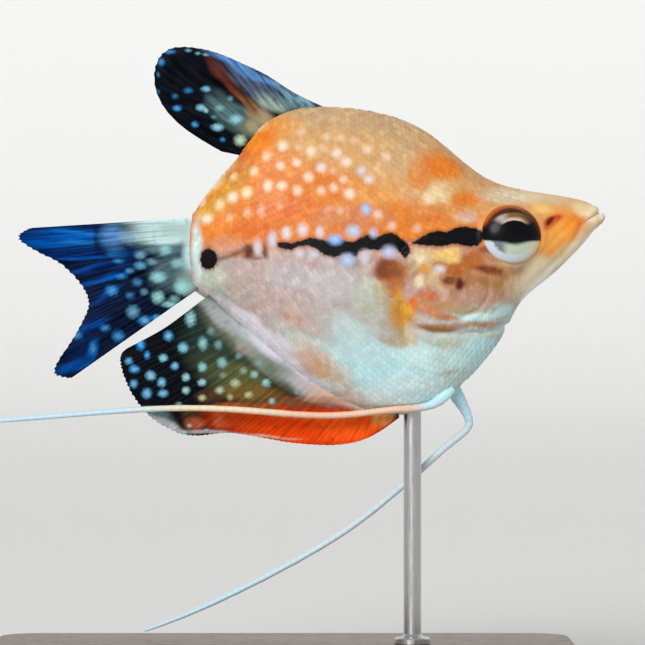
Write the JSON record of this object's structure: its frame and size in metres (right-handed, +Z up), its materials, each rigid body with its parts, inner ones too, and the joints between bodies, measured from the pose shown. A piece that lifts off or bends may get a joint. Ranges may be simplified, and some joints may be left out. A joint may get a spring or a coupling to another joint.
{
  "type": "pearl gourami display model",
  "caption": "Short-bodied gold pearl gourami as a still, life-size museum model, fins spread and thread-like feelers trailing, on a plain base with one rod.",
  "frame": {"origin": "underside of the stand's base, at the middle of the whole model's length and width", "axes": "+X is the way the fish faces, -Y is its right side, +Z is up"},
  "size_m": [0.0878, 0.044, 0.0883],
  "materials": {
    "skin": "painted scaled skin: orange back with pale pearls, silver flank, dark broken stripe",
    "eye": "glossy dark eye with a silver lower rim and a red-brown upper rim",
    "fin_membrane": "thin rayed membrane, dark blue and black with pale pearls, orange-red along the front edge",
    "feeler": "smooth pale blue-white thread",
    "stand_wood": "dark oiled wood with a fine straight grain",
    "stand_steel": "satin steel rod"
  },
  "bodies": {
    "root": {"head": "skin", "gill_cover_right": "skin", "gill_cover_left": "skin", "torso": "skin", "tail_stalk": "skin", "eye_right": "eye", "eye_left": "eye", "dorsal_fin": "fin_membrane", "anal_fin": "fin_membrane", "tail_fin": "fin_membrane", "pectoral_fin_right": "fin_membrane", "pectoral_fin_left": "fin_membrane", "feeler_right_base": "feeler", "feeler_right_middle": "feeler", "feeler_right_tip": "feeler", "feeler_left_base": "feeler", "feeler_left_middle": "feeler", "feeler_left_tip": "feeler", "stand_base": "stand_wood", "stand_rod": "stand_steel"}
  },
  "joints": []
}
